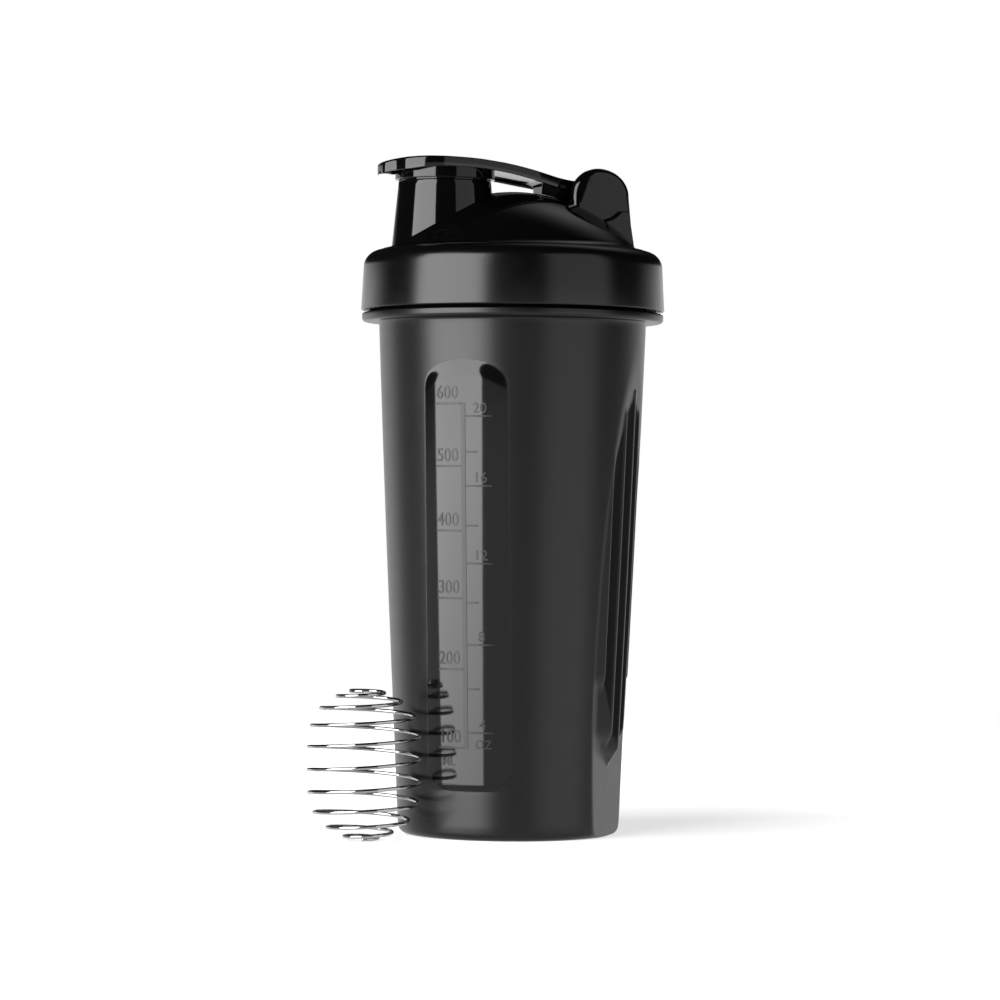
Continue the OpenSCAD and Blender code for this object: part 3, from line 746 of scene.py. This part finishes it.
def lid_hollows():
    """What is cut from the lid's top: the room under the dome, the spout's bore and the pin's hole."""
    inner_r, under_z, above_z = DOME_SPHERE_R - DOME_WALL, SEAT_Z - 1, SPOUT_Z + 1
    low = math.degrees(math.asin((under_z - DOME_CENTER_Z) / inner_r))
    cavity = [(0, under_z)] + arc((0, DOME_CENTER_Z), inner_r, low, 90, 40)[:-1]
    cavity += [(0, DOME_CENTER_Z + inner_r)]
    bore = [(0, SEAT_Z + 1), (MOUTH_BASE_R, SEAT_Z + 1), (MOUTH_R + 0.05, SPOUT_Z - MOUTH_EDGE),
            (MOUTH_R + MOUTH_EDGE, SPOUT_Z + 0.1), (MOUTH_R + MOUTH_EDGE, above_z), (0, above_z)]
    hole_start, hole_end = -EAR_GAP - EAR_T + 2, EAR_GAP + EAR_T + 1
    hole = lathe("hole", [(0, hole_start), (PIN_R, hole_start), (PIN_R, hole_end), (0, hole_end)], 48)
    on_axis_y(hole, HINGE_X, HINGE_Z)
    return [lathe("cavity", cavity, 160), lathe("bore", refine(bore, 3.0), 128, (-SPOUT_X, 0)), hole]


def make_lid_top():
    dome = dome_solid()
    ears = ear_solids()
    lid = combine(outward(dome), [spout_solid()] + ears, "UNION")
    lid = combine(lid, lid_hollows(), "DIFFERENCE")
    return finish_piece(lid, "lid", GLOSS, angle=28, replaces=("lid_top",))


# ---------------------------------------------------------------- flip cap

def even_out(values, step, width):
    """Evens out a row of values over a width."""
    n = int(3 * width / step)
    weights = np.exp(-0.5 * (np.arange(-n, n + 1) * step / width) ** 2)
    return np.convolve(np.pad(values, n, mode="edge"), weights / weights.sum(), mode="valid")


SIDE_EVENING, WIDTH_EVENING = 1.3, 0.8
OUTLINE_X = np.linspace(-LIP_X, HINGE_X + 8, 1200)
OUTLINE_STEP = OUTLINE_X[1] - OUTLINE_X[0]
# The arm's upper edge seen from the side, as points along it and their heights
SIDE_TOPS = ((-LIP_X, 213.5), (-43.2, 213.9), (-41.4, 214.4), (-38.6, 214.75), (-32.4, 215.25),
             (-25.5, 215.3), (-19.4, 215.1), (-14.3, 214.75), (-7.5, 213.95), (-2.0, 213.1),
             (4.2, 211.9), (9.0, 210.9), (12.3, 210.2), (15.7, 209.7), (17.8, 209.45),
             (HINGE_X, 208.95), (HINGE_X + 8, 208.9))
OUTLINE_Z = even_out(np.interp(OUTLINE_X, *zip(*SIDE_TOPS)), OUTLINE_STEP, SIDE_EVENING)


def cap_side(x):
    """Height of the cap's upper edge, along the near or far side."""
    return np.interp(x, OUTLINE_X, OUTLINE_Z)


def cap_top(x):
    """Height of the arched top along its middle, which is crowned above its sides."""
    return cap_side(x) + np.interp(x, [-LIP_X, -LIP_X + 8, -15, HINGE_X], [0.3, 0.9, 0.75, 0.3])


# Half the arm's width seen from above, as points along it and their half widths
HALF_WIDTHS = ((-LIP_X, LIP_HALF_W), (-LIP_X + 3.8, LIP_HALF_W + 3.2), (-LIP_X + 5.7, NOSE_R - 5.4),
               (-LIP_X + 10, NOSE_R - 2.0), (-LIP_X + 13, NOSE_R - 0.7), (-LIP_X + 16, NOSE_R - 0.15),
               (-SPOUT_X, NOSE_R - 0.2), (-15, 16.3), (-5, 15.1), (4, 12.8), (HINGE_X - 9, 6.9),
               (HINGE_X - 4, 6.7), (HINGE_X + 8, 6.7))
OUTLINE_W = even_out(np.interp(OUTLINE_X, *zip(*HALF_WIDTHS)), OUTLINE_STEP, WIDTH_EVENING)


def cap_half_width(x):
    """Half the width of the cap seen from above: the lip, the round nose, the arm and its root."""
    return np.interp(x, OUTLINE_X, OUTLINE_W)


def cap_section(half_w, top, side, rim_h, plate):
    """One cross-section of the arm, across and up, from the middle of the top round to it again."""
    edge, foot = 0.45, 0.2
    half = [(half_w * t, top - (top - side) * t ** CROWN_POWER) for t in (0, 0.25, 0.5, 0.7, 0.85)]
    half += arc((half_w - edge, side - edge), edge, 75, 0, 6)
    half += arc((half_w - foot, side - rim_h + foot), foot, 0, -90, 3)
    half += arc((half_w - RIM_T + foot, side - rim_h + foot), foot, -90, -180, 3)
    half += [(half_w - RIM_T, side - plate - 0.1), (half_w - RIM_T - 0.3, side - plate + 0.1),
             (half_w * 0.5, side - plate + 0.25), (0, side - plate + 0.3)]
    return half + [(-y, z) for y, z in half[-2:0:-1]]


def arm_solid():
    """The arm, from its rounded lip to the hinge, as a row of cross-sections."""
    end_steps = np.array([0, 0.15, 0.4, 0.8, 1.4])
    xs = np.concatenate([-LIP_X + end_steps, np.arange(-LIP_X + 2, HINGE_X - 1, 0.6), [HINGE_X - 0.5]])
    pull = np.interp(xs, -LIP_X + end_steps, [1.3, 0.8, 0.42, 0.14, 0.0])
    rings = []
    for x, p in zip(xs, pull):
        rim_h = np.interp(x, [-LIP_X, -LIP_X + 7, -LIP_X + 14, -15, HINGE_X], [3.1, 3.6, 3.2, 3.0, 3.3])
        plate = PLATE_T + (rim_h + 0.05 - PLATE_T) * float(ramp(x, ROOT_X - 1.5, ROOT_X + 1.2))
        drop = p * 0.35
        section = cap_section(cap_half_width(x) - p, cap_top(x) - drop, cap_side(x) - drop, rim_h, plate)
        rings.append([(x, y, z) for y, z in section])
    k, last = len(rings[0]), (len(rings) - 1) * len(rings[0])
    faces = grid_faces(len(rings), k) + [tuple(range(k))[::-1], tuple(range(last, last + k))]
    return outward(add_mesh("flip_cap_shell", np.array(rings).reshape(-1, 3), faces))


def skirt_solid():
    """The skirt that closes round the spout, with the boss that carries the soft seal."""
    skirt = [(0, SKIRT_TOP_Z), (SKIRT_R, SKIRT_TOP_Z), (SKIRT_R, SKIRT_Z + SKIRT_EDGE),
             (SKIRT_R - SKIRT_EDGE, SKIRT_Z), (SKIRT_INNER_R + SKIRT_EDGE, SKIRT_Z),
             (SKIRT_INNER_R, SKIRT_Z + SKIRT_EDGE),
             (SKIRT_INNER_R, BOSS_Z), (0, BOSS_Z)]
    return lathe("skirt", refine(skirt, 2.5), 160, (-SPOUT_X, 0))


def dome_z(x, extra):
    """Height of the dome's surface above x, with the dome grown by some extra radius."""
    return DOME_CENTER_Z + math.sqrt((DOME_SPHERE_R + extra) ** 2 - x * x)


def root_solid():
    """The thick root of the arm, which narrows downwards and stays just clear of the dome."""
    under = [(x, cap_side(x) - 0.8) for x in np.linspace(ROOT_X, HINGE_X, 12)]
    low, inside_z = HINGE_Z - BARREL_R, dome_z(ROOT_X, ROOT_GAP) - 1
    root = prism("root", under + [(HINGE_X, low), (ROOT_X + 6, low), (ROOT_X, inside_z)],
                 -ARM_END_HALF_W, ARM_END_HALF_W, ROOT_EDGE)
    for v in root.data.vertices:
        v.co.y *= float(np.interp(v.co.z / MM, [low + 1.5, HINGE_Z + 3.2], [ROOT_FOOT_W, 1.0]))
    clear = arc((0, DOME_CENTER_Z), DOME_SPHERE_R + ROOT_GAP, 40, 90, 48)
    clearance = lathe("dome_clearance", [(0, BRIM_Z)] + clear[:-1] + [(0, clear[-1][1])], 160)
    return outward(root), clearance


def make_flip_cap():
    cap = arm_solid()
    root, clearance = root_solid()
    end_r, side_y = BARREL_R - BARREL_EDGE, ARM_END_HALF_W - BARREL_EDGE
    barrel = [(0, -ARM_END_HALF_W), (end_r, -ARM_END_HALF_W), (BARREL_R, -side_y),
              (BARREL_R, side_y), (end_r, ARM_END_HALF_W), (0, ARM_END_HALF_W)]
    barrel = lathe("barrel", barrel, 96)
    hole_r, reach = PIN_R + PIN_GAP, 20
    hole = lathe("hole", [(0, -reach), (hole_r, -reach), (hole_r, reach), (0, reach)], 48)
    on_axis_y(barrel, HINGE_X, HINGE_Z)
    on_axis_y(hole, HINGE_X, HINGE_Z)
    root = combine(root, [clearance], "DIFFERENCE")
    cap = combine(cap, [skirt_solid(), root, barrel], "UNION")
    cap = combine(cap, [hole], "DIFFERENCE")
    return finish_piece(cap, "cap", CAP_GLOSS, angle=30, replaces=("flip_cap",))


# ---------------------------------------------------------------- mixing ball

def wire_at(u):
    """Points of the wire's middle line, for u from -1 at the bottom to 1 at the top."""
    z = np.sin(np.pi / 2 * u)
    a = np.radians(BALL_PHASE + 180 * BALL_TURNS * u)
    r = (BALL_R - WIRE_R) * (1 - (np.abs(z) * BALL_FILL) ** 4) ** 0.7
    height = BALL_H / 2 + (BALL_H / 2 - WIRE_R) * z
    return np.stack([BALL_X + r * np.cos(a), BALL_Y + r * np.sin(a), height], -1)


def make_ball():
    """The ball: a round wire swept along its line, with a rounded tip at both ends."""
    n, sides = STEPS_PER_TURN * BALL_TURNS, WIRE_SIDES
    line = wire_at(np.linspace(-1, 1, n + 1))
    along = np.gradient(line, axis=0)
    along /= np.linalg.norm(along, axis=1)[:, None]
    out = np.cross(along, [0, 0, 1.0])
    out /= np.linalg.norm(out, axis=1)[:, None]
    up = np.cross(out, along)
    a = np.linspace(0, 2 * np.pi, sides, endpoint=False)[:, None]
    rings = [line[i] + WIRE_R * (np.cos(a) * out[i] + np.sin(a) * up[i]) for i in range(n + 1)]

    def tip(end, sign):
        rounds = [t * math.pi / 2 for t in (0.45, 0.8, 0.98)]
        return [line[end] + along[end] * (sign * WIRE_R * 0.5 * math.sin(t))
                + (rings[end] - line[end]) * math.cos(t) for t in rounds]

    rings = tip(0, -1)[::-1] + rings + tip(n, 1)
    points = np.array(rings).reshape(-1, 3)
    last = (len(rings) - 1) * sides
    faces = grid_faces(len(rings), sides) + [tuple(range(sides))[::-1], tuple(range(last, last + sides))]
    ball = outward(add_mesh("wire_ball", points, faces))
    return finish_piece(ball, "ball", BALL_STEEL, angle=60, replaces=("mixing_ball",))


# ---------------------------------------------------------------- the object

make_cup()
neck_thread = thread_ridge("neck_thread", NECK_R, NECK_R + THREAD_H, THREAD_Z)
finish_piece(neck_thread, "cup", COLLAR)
make_marks()
make_collar()
lid_thread = thread_ridge("lid_thread", COLLAR_INNER_R, NECK_R + 0.5, THREAD_Z - THREAD_DROP)
finish_piece(lid_thread, "lid", COLLAR)
make_lid_top()
make_flip_cap()
make_ball()
for name, material in (("lid_gasket", SEAL), ("spout_seal", SEAL), ("hinge_pin", PIN_STEEL)):
    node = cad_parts[name]
    node.data.materials.clear()
    node.data.materials.append(material)

# ---------------------------------------------------------------- studio

view_angle = math.radians(CAMERA_AZIMUTH)
toward = Vector((math.sin(view_angle), -math.cos(view_angle), 0))
right = Vector((math.cos(view_angle), math.sin(view_angle), 0))
FLOOR_R, FLOOR_GREY, FLOOR_ROUGH = 620.0, 0.60, 0.9
# The floor's painted glow: dimmer near the bottle, as painted shade round it, and brighter far away, where it
# meets the white behind.
FLOOR_GLOW, FLOOR_FAR_GLOW, FLOOR_GLOW_START, FLOOR_GLOW_END = 0.68, 1.10, 0.06, 0.26
SURROUND_DARK, PAPER_GLOW, LEFT_BOOST, TOP_GLOW, TOP_SHARPNESS = 0.012, 0.85, 1.7, 0.5, 38.0
BOX_FOOT_GLOW, BOX_FOOT_START, BOX_FOOT_END = 0.5, 0.06, 0.24
# Where each part of the surround begins and is full, by how far a direction points that way
BEHIND_FROM, BEHIND_FULL, LOW_FROM, LOW_FULL = 0.24, 0.82, 0.15, 0.05
LEFT_FROM, LEFT_FULL, PAPER_FROM, PAPER_FULL = 0.45, 0.80, -0.015, -0.065
TOP_RIGHT, TOP_BEHIND, TOP_UP = 0.26, 0.62, 0.75


def make_floor():
    """Pale paper with a painted glow, dimmer near the bottle as painted shade round it and brightest far
    away, so that it meets the white behind.
    """
    angles = np.linspace(0, 2 * np.pi, 96, endpoint=False)
    points = [(FLOOR_R * math.cos(a), FLOOR_R * math.sin(a), 0) for a in angles]
    floor = add_mesh("floor", points, [tuple(range(len(points)))])
    material, nodes, links, shader = new_material("floor_paper")
    shader.inputs["Base Color"].default_value = (FLOOR_GREY, FLOOR_GREY, FLOOR_GREY, 1)
    shader.inputs["Roughness"].default_value = FLOOR_ROUGH
    shader.inputs["Specular IOR Level"].default_value = 0.0
    shader.inputs["Emission Color"].default_value = (1, 1, 1, 1)
    place = nodes.new("ShaderNodeTexCoord")
    reach = nodes.new("ShaderNodeVectorMath")
    reach.operation = "LENGTH"
    links.new(place.outputs["Object"], reach.inputs[0])
    # Painted glow that rises with distance from the bottle, so the floor near it is darkened by painted
    # shade.
    glow = spread(nodes, links, reach.outputs["Value"], FLOOR_GLOW, FLOOR_FAR_GLOW,
                  FLOOR_GLOW_START, FLOOR_GLOW_END, "SMOOTHSTEP")
    links.new(glow, shader.inputs["Emission Strength"])
    floor.data.materials.append(material)
    floor.visible_glossy = False
    return floor


def calculate(nodes, links, operation, a, b):
    """A value combined with another value or with a number."""
    node = nodes.new("ShaderNodeMath")
    node.operation = operation
    links.new(a, node.inputs[0])
    if isinstance(b, float):
        node.inputs[1].default_value = b
    else:
        links.new(b, node.inputs[1])
    return node.outputs[0]


def how_far_along(nodes, links, place, direction):
    """How far each direction in the surround points along one direction."""
    node = nodes.new("ShaderNodeVectorMath")
    node.operation = "DOT_PRODUCT"
    node.inputs[1].default_value = direction
    links.new(place, node.inputs[0])
    return node.outputs["Value"]


def make_world():
    """A dark studio with white paper below and behind, a soft glow above, and pure white where it is seen."""
    world = bpy.data.worlds.new("studio")
    world.use_nodes = True
    nodes, links = world.node_tree.nodes, world.node_tree.links
    nodes.clear()
    output = nodes.new("ShaderNodeOutputWorld")
    place = nodes.new("ShaderNodeTexCoord").outputs["Generated"]
    lean = nodes.new("ShaderNodeSeparateXYZ")
    links.new(place, lean.inputs[0])
    up = lean.outputs["Z"]
    facing = how_far_along(nodes, links, place, -toward)
    behind = spread(nodes, links, facing, 0.0, 1.0, BEHIND_FROM, BEHIND_FULL, "SMOOTHSTEP")
    low_down = spread(nodes, links, up, 0.0, 1.0, LOW_FROM, LOW_FULL, "SMOOTHSTEP")
    panels = calculate(nodes, links, "MULTIPLY", behind, low_down)
    leftward = how_far_along(nodes, links, place, -right)
    boost = spread(nodes, links, leftward, 1.0, LEFT_BOOST, LEFT_FROM, LEFT_FULL, "SMOOTHSTEP")
    panels = calculate(nodes, links, "MULTIPLY", panels, boost)
    top = (right * TOP_RIGHT - toward * TOP_BEHIND + Vector((0, 0, TOP_UP))).normalized()
    above = calculate(nodes, links, "MAXIMUM", how_far_along(nodes, links, place, top), 0.0)
    lobe = calculate(nodes, links, "POWER", above, TOP_SHARPNESS)
    lobe = calculate(nodes, links, "MULTIPLY", lobe, TOP_GLOW)
    paper = spread(nodes, links, up, SURROUND_DARK, PAPER_GLOW, PAPER_FROM, PAPER_FULL, "SMOOTHSTEP")
    bright = calculate(nodes, links, "MAXIMUM", calculate(nodes, links, "MAXIMUM", panels, lobe), paper)
    surround = nodes.new("ShaderNodeBackground")
    links.new(bright, surround.inputs["Strength"])
    seen = nodes.new("ShaderNodeBackground")
    seen.inputs["Strength"].default_value = 1.0
    for node in (surround, seen):
        node.inputs["Color"].default_value = (1, 1, 1, 1)
    path = nodes.new("ShaderNodeLightPath")
    choose = nodes.new("ShaderNodeMixShader")
    links.new(path.outputs["Is Camera Ray"], choose.inputs["Fac"])
    links.new(surround.outputs[0], choose.inputs[1])
    links.new(seen.outputs[0], choose.inputs[2])
    links.new(choose.outputs[0], output.inputs["Surface"])
    return world


def softbox(name, azimuth, distance, width, height, z, radiance):
    """A rectangular light that looks at the bottle. Its azimuth is from the camera's side, to the right."""
    a = math.radians(azimuth)
    place = (toward * math.cos(a) + right * math.sin(a)) * distance
    light = bpy.data.lights.new(name, "AREA")
    light.shape = "RECTANGLE"
    light.size, light.size_y = width, height
    light.energy = radiance * math.pi * width * height
    obj = bpy.data.objects.new(name, light)
    bpy.context.scene.collection.objects.link(obj)
    obj.location = (place.x, place.y, z)
    aim = Vector((0, 0, z)) - obj.location
    obj.rotation_euler = aim.to_track_quat("-Z", "Y").to_euler()
    return obj


def dim_foot(light):
    """Dims a light towards its lower edge."""
    light.data.use_nodes = True
    nodes, links = light.data.node_tree.nodes, light.data.node_tree.links
    spot = nodes.new("ShaderNodeNewGeometry")
    split = nodes.new("ShaderNodeSeparateXYZ")
    links.new(spot.outputs["Parametric"], split.inputs[0])
    fade = spread(nodes, links, split.outputs["Y"], BOX_FOOT_GLOW, 1.0, BOX_FOOT_START, BOX_FOOT_END)
    links.new(fade, nodes["Emission"].inputs["Strength"])


def make_camera():
    data = bpy.data.cameras.new("camera")
    camera = bpy.data.objects.new("camera", data)
    bpy.context.scene.collection.objects.link(camera)
    data.lens = CAMERA_LENS
    data.sensor_width = CAMERA_SENSOR
    camera.location = toward * CAMERA_DISTANCE + right * CAMERA_ASIDE + Vector((0, 0, CAMERA_HEIGHT))
    facing_in = (-toward).to_track_quat("-Z", "Y").to_matrix().to_4x4()
    roll = Matrix.Rotation(math.radians(CAMERA_ROLL), 4, "Z")
    camera.matrix_world = Matrix.Translation(camera.location) @ facing_in @ roll
    return camera


floor = make_floor()
bpy.context.scene.world = make_world()
dim_foot(softbox("left_box", azimuth=-49.0, distance=1.5, width=1.56, height=1.95, z=0.525, radiance=8.6))
softbox("right_box", azimuth=52, distance=1.6, width=1.50, height=2.1, z=0.6, radiance=1.0)
bpy.context.scene.camera = make_camera()
bpy.context.scene.view_settings.view_transform = "Standard"
